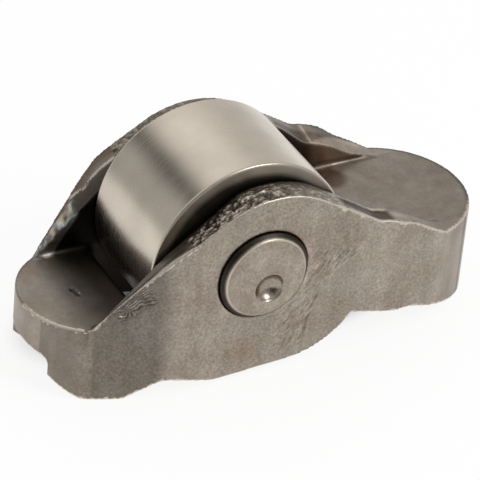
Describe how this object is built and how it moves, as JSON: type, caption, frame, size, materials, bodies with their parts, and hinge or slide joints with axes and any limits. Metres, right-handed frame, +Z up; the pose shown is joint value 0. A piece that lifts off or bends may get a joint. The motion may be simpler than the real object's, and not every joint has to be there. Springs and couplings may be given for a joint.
{
  "type": "roller rocker arm",
  "caption": "Roller rocker arm, a finger follower: a formed arm with a ball socket under one end, a forked valve pad under the other and a cam roller on needles between its walls.",
  "frame": {"origin": "centre of the ball socket under the pivot end", "axes": "+X along the arm, from the valve end towards the pivot end; +Y along the roller's axle, away from the side with the punch mark; +Z up, from the valve stem and the pivot ball towards the cam"},
  "size_m": [0.0484, 0.0202, 0.0228],
  "materials": {
    "formed_steel": "formed and hardened steel, warm grey, satin and slightly uneven",
    "axle_steel": "hardened steel pin, matt turned ends",
    "ground_steel": "finely ground and polished bearing steel",
    "needle_steel": "polished bearing steel"
  },
  "bodies": {
    "arm": {"body": "formed_steel", "axle": "axle_steel"},
    "roller": {"roller": "ground_steel"},
    "needles": {"needle_01": "needle_steel", "needle_02": "needle_steel", "needle_03": "needle_steel", "needle_04": "needle_steel", "needle_05": "needle_steel", "needle_06": "needle_steel", "needle_07": "needle_steel", "needle_08": "needle_steel", "needle_09": "needle_steel", "needle_10": "needle_steel", "needle_11": "needle_steel", "needle_12": "needle_steel", "needle_13": "needle_steel", "needle_14": "needle_steel", "needle_15": "needle_steel", "needle_16": "needle_steel", "needle_17": "needle_steel", "needle_18": "needle_steel"}
  },
  "joints": [
    {"name": "roller_spin", "type": "hinge", "parent": "arm", "child": "roller", "pos_m": [-0.0188, 0, 0.0095], "axis": [0, 1, 0], "continuous": true},
    {"name": "needle_orbit", "type": "hinge", "parent": "arm", "child": "needles", "pos_m": [-0.0188, 0, 0.0095], "axis": [0, 1, 0], "continuous": true}
  ],
  "couplings": [
    {"joint": "needle_orbit", "follows": "roller_spin", "ratio": 0.58726}
  ]
}
